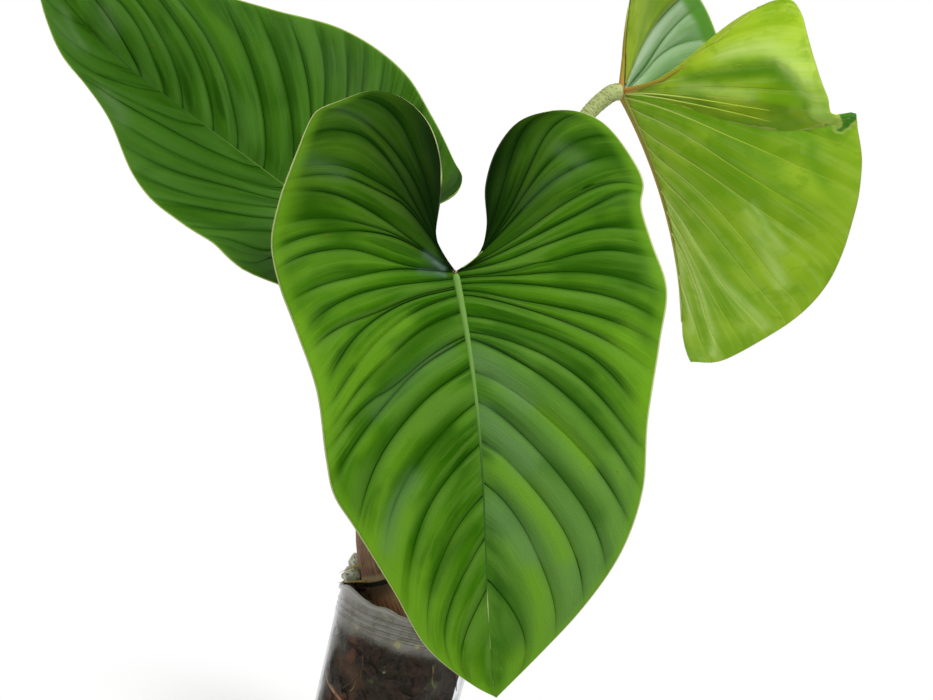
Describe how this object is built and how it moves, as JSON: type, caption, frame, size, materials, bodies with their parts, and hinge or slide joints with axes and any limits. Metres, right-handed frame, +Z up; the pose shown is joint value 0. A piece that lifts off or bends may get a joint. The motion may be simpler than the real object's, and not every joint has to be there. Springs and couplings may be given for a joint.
{
  "type": "potted philodendron",
  "caption": "Young climbing aroid with heart-shaped, deeply veined leaves on warty stalks, in a clear tapered pot of bark and pumice mix.",
  "frame": {"origin": "centre of the pot's flat underside", "axes": "+Z up along the pot's axis, +X to the viewer's right and -Y towards the viewer, who faces the front leaf"},
  "size_m": [0.4853, 0.304, 0.5217],
  "materials": {
    "pot": "clear, slightly frosted",
    "potting_mix": "rough bark, fibre and pumice",
    "stem": "ringed, dull",
    "cataphyll": "dry, papery, ribbed",
    "root": "smooth, waxy",
    "petiole": "warty, dull",
    "leaf_front": "satin, sunken veins",
    "leaf_left": "satin, sunken veins",
    "leaf_right": "satin, pale underside"
  },
  "bodies": {
    "root": {"pot": "pot", "potting_mix": "potting_mix", "stem": "stem", "cataphyll_1": "cataphyll", "cataphyll_2": "cataphyll", "cataphyll_3": "cataphyll", "root_1": "root", "root_2": "root", "petiole_front": "petiole", "petiole_left": "petiole", "petiole_right": "petiole", "leaf_front": "leaf_front", "leaf_left": "leaf_left", "leaf_right": "leaf_right"}
  },
  "joints": []
}
